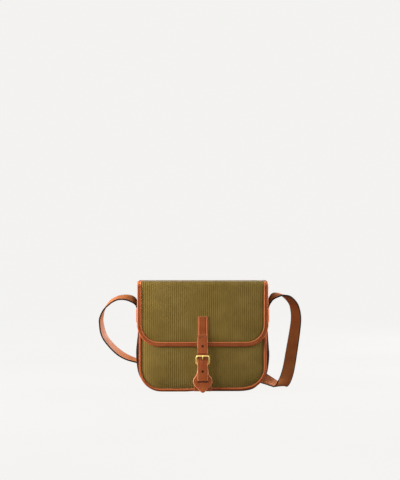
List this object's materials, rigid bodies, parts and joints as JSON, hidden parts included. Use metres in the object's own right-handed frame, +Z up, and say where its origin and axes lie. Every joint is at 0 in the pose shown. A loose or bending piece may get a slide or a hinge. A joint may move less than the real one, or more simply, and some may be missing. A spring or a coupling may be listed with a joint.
{
  "type": "messenger bag",
  "caption": "Small upright shoulder bag of ribbed canvas bound in leather, with a rounded front flap, a buckled closure strap and a flat shoulder strap.",
  "frame": {"origin": "middle of the body's footprint on the surface that the bag stands on, shoulder strap left out", "axes": "+Z up, the flap and buckle face -Y, +X to the right of someone facing the front"},
  "size_m": [0.3621, 0.2303, 0.195],
  "materials": {
    "canvas": "ribbed olive cotton canvas, matt",
    "gusset_fabric": "near-black cloth, matt",
    "binding_leather": "smooth tan leather, low sheen",
    "closure_leather": "grained tan leather, low sheen",
    "strap_leather": "smooth tan leather with painted dark edges",
    "lining_cloth": "plain woven cotton",
    "fibreboard": "bonded leather board, matt",
    "magnet_plate": "plated steel",
    "brass": "polished brass"
  },
  "bodies": {
    "bag": {"front_panel": "canvas", "back_panel": "canvas", "gusset": "gusset_fabric", "front_piping": "binding_leather", "back_piping": "binding_leather", "front_top_binding": "binding_leather", "lining": "lining_cloth", "inner_pocket": "lining_cloth", "base_board": "fibreboard", "bottom_patch": "closure_leather", "patch_magnet": "magnet_plate", "strap_anchor_left": "binding_leather", "strap_anchor_right": "binding_leather", "shoulder_strap": "strap_leather"},
    "flap_top": {"flap_top_canvas": "canvas", "flap_top_lining": "lining_cloth", "flap_top_binding_left": "binding_leather", "flap_top_binding_right": "binding_leather"},
    "flap_front": {"flap_front_canvas": "canvas", "flap_front_lining": "lining_cloth", "flap_front_binding": "binding_leather", "strap_sleeve": "closure_leather"},
    "closure": {"closure_strap": "closure_leather", "spade_tab": "closure_leather", "tab_magnet": "magnet_plate"},
    "frame": {"buckle_frame": "brass"},
    "prong": {"buckle_prong": "brass"}
  },
  "joints": [
    {"name": "flap_hinge", "type": "hinge", "parent": "bag", "child": "flap_top", "pos_m": [0, 0.0335, 0.1915], "axis": [-1, 0, 0], "range_deg": [0, 200]},
    {"name": "flap_fold", "type": "hinge", "parent": "flap_top", "child": "flap_front", "pos_m": [0, -0.0368, 0.195], "axis": [-1, 0, 0], "range_deg": [0, 90]},
    {"name": "closure_lift", "type": "hinge", "parent": "flap_front", "child": "closure", "pos_m": [0, -0.0389, 0.0958], "axis": [-1, 0, 0], "range_deg": [0, 120]},
    {"name": "buckle_swing", "type": "hinge", "parent": "closure", "child": "frame", "pos_m": [0, -0.03685, 0.0503], "axis": [1, 0, 0], "range_deg": [0, 6]},
    {"name": "prong_swing", "type": "hinge", "parent": "frame", "child": "prong", "pos_m": [0, -0.03685, 0.0503], "axis": [1, 0, 0], "range_deg": [0, 6]}
  ],
  "couplings": [
    {"joint": "flap_fold", "follows": "flap_hinge", "ratio": 0.45}
  ]
}
